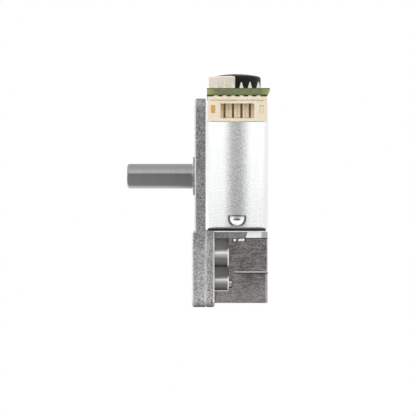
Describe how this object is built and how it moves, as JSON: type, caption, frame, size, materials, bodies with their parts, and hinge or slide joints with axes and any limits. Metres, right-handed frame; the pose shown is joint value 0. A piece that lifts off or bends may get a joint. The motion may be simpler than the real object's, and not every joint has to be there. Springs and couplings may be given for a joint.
{
  "type": "encoder motor",
  "caption": "Right-angle gear motor: flat-sided can beside a die-cast plate with a D output shaft, gear block below, magnetic encoder board and connector on top.",
  "frame": {"origin": "on the output shaft's axis, in the plane of the plate's mounting face, at the middle of the mounting holes", "axes": "-X along the output shaft towards its tip, +Z along the motor's axis towards the encoder, -Y towards the connector"},
  "size_m": [0.0341, 0.027, 0.056],
  "materials": {
    "zinc_casting": "grainy die-cast zinc, as cast",
    "nickel_can": "drawn steel with satin nickel plate",
    "ground_steel": "turned and ground steel",
    "gear_steel": "cut steel teeth, oiled",
    "brass": "turned brass",
    "sintered_bronze": "sintered bronze, oil filled",
    "sheet_steel": "stamped sheet steel",
    "gasket_fibre": "black vulcanised fibre",
    "screw_steel": "zinc-plated screw steel",
    "ferrite": "sintered ferrite",
    "core_steel": "stacked core plates",
    "copper": "enamelled copper wire",
    "black_plastic": "moulded black plastic",
    "carbon": "pressed carbon",
    "board_green": "green solder mask over fibreglass",
    "cream_nylon": "moulded cream nylon",
    "tinned_metal": "tinned pins and solder",
    "magnet_black": "polished plastic-bonded magnet"
  },
  "bodies": {
    "housing": {"front_casting": "zinc_casting", "rear_casting": "zinc_casting", "lower_cap": "zinc_casting", "guard_plate": "sheet_steel", "case_screws": "screw_steel", "cap_screws": "screw_steel", "motor_screws": "screw_steel", "motor_gasket": "gasket_fibre", "output_bush": "brass", "crown_front_bush": "sintered_bronze", "crown_middle_bush": "sintered_bronze", "crown_bearing_plate": "sheet_steel", "crown_rear_bush": "sintered_bronze", "idler_axle": "ground_steel", "intermediate_axle": "ground_steel", "motor_can": "nickel_can", "field_magnets": "ferrite", "magnet_spring": "sheet_steel", "motor_front_bush": "sintered_bronze", "motor_end_cap": "black_plastic", "motor_rear_bush": "sintered_bronze", "brushes": "carbon", "brush_arms": "copper", "motor_terminals": "tinned_metal", "terminal_solder": "tinned_metal", "encoder_board": "board_green", "connector_housing": "cream_nylon", "connector_pins": "tinned_metal", "connector_solder": "tinned_metal", "sensor_carrier": "cream_nylon", "hall_sensors": "black_plastic", "board_chips": "black_plastic"},
    "output": {"output_shaft": "ground_steel", "output_gear": "gear_steel"},
    "idler": {"idler_gear": "gear_steel"},
    "intermediate": {"intermediate_pinion": "gear_steel", "intermediate_wheel": "gear_steel"},
    "crown": {"crown_gear": "gear_steel", "crown_shaft": "ground_steel", "crown_pinion": "gear_steel"},
    "rotor": {"motor_shaft": "ground_steel", "armature_core": "core_steel", "windings": "copper", "commutator": "copper", "commutator_sleeve": "black_plastic", "rotor_washers": "sheet_steel", "motor_pinion": "brass", "encoder_magnet": "magnet_black", "encoder_hub": "brass"}
  },
  "joints": [
    {"name": "rotor_spin", "type": "hinge", "parent": "housing", "child": "rotor", "pos_m": [0.01005, 0, 0], "axis": [0, 0, 1], "continuous": true},
    {"name": "crown_spin", "type": "hinge", "parent": "housing", "child": "crown", "pos_m": [0, 0, -0.02305], "axis": [1, 0, 0], "continuous": true},
    {"name": "intermediate_spin", "type": "hinge", "parent": "housing", "child": "intermediate", "pos_m": [0, 0.00613, -0.01928], "axis": [1, 0, 0], "continuous": true},
    {"name": "idler_spin", "type": "hinge", "parent": "housing", "child": "idler", "pos_m": [0, 0.00083, -0.01398], "axis": [1, 0, 0], "continuous": true},
    {"name": "output_spin", "type": "hinge", "parent": "housing", "child": "output", "pos_m": [0, 0, 0], "axis": [1, 0, 0], "continuous": true}
  ],
  "couplings": [
    {"joint": "crown_spin", "follows": "rotor_spin", "ratio": 0.41667},
    {"joint": "intermediate_spin", "follows": "rotor_spin", "ratio": -0.20833},
    {"joint": "idler_spin", "follows": "rotor_spin", "ratio": 0.10417},
    {"joint": "output_spin", "follows": "rotor_spin", "ratio": -0.05787}
  ]
}
